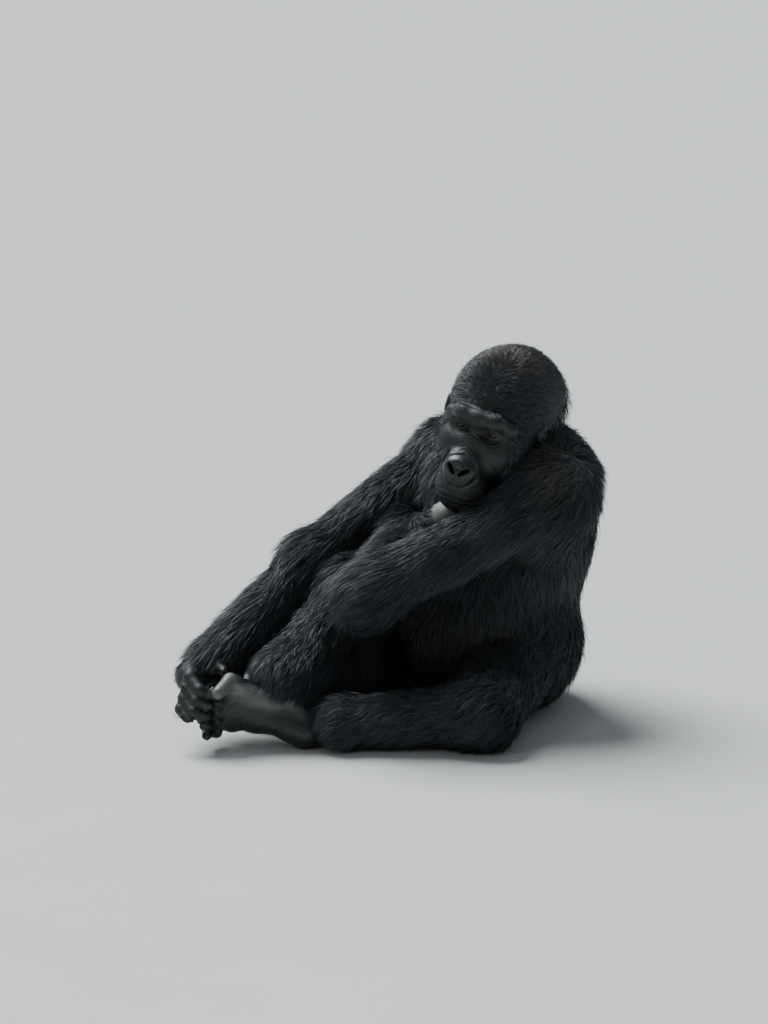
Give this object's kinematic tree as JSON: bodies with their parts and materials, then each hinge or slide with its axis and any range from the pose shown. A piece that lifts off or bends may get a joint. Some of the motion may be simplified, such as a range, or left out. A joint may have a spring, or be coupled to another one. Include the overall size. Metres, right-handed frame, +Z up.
{
  "type": "gorilla",
  "caption": "Life-size still figure of a seated adult gorilla, one hand under its chin, the other holding its foot.",
  "frame": {"origin": "on the floor, under the middle of the whole figure's box", "axes": "+Z up, -Y towards the viewer in front, +X to that viewer's right, which is the animal's left side"},
  "size_m": [0.9644, 0.7739, 0.844],
  "materials": {
    "coat": "dense black hair with a cool blue-grey sheen on its upper sides, browner on the crown and the shoulder",
    "skin": "bare black leathery skin of the face, ears, hands and feet, creased, with a soft sheen",
    "eye": "wet dark brown eye with a black pupil",
    "nail": "dark horn nails with a dull shine"
  },
  "bodies": {
    "root": {"trunk": "coat", "neck": "coat", "head": "coat", "ear_left": "skin", "ear_right": "skin", "eye_left": "eye", "eye_right": "eye", "upper_arm_left": "coat", "forearm_left": "coat", "hand_left": "skin", "upper_arm_right": "coat", "forearm_right": "coat", "hand_right": "skin", "thigh_left": "coat", "shin_left": "coat", "foot_left": "skin", "thigh_right": "coat", "shin_right": "coat", "foot_right": "skin"}
  },
  "joints": []
}
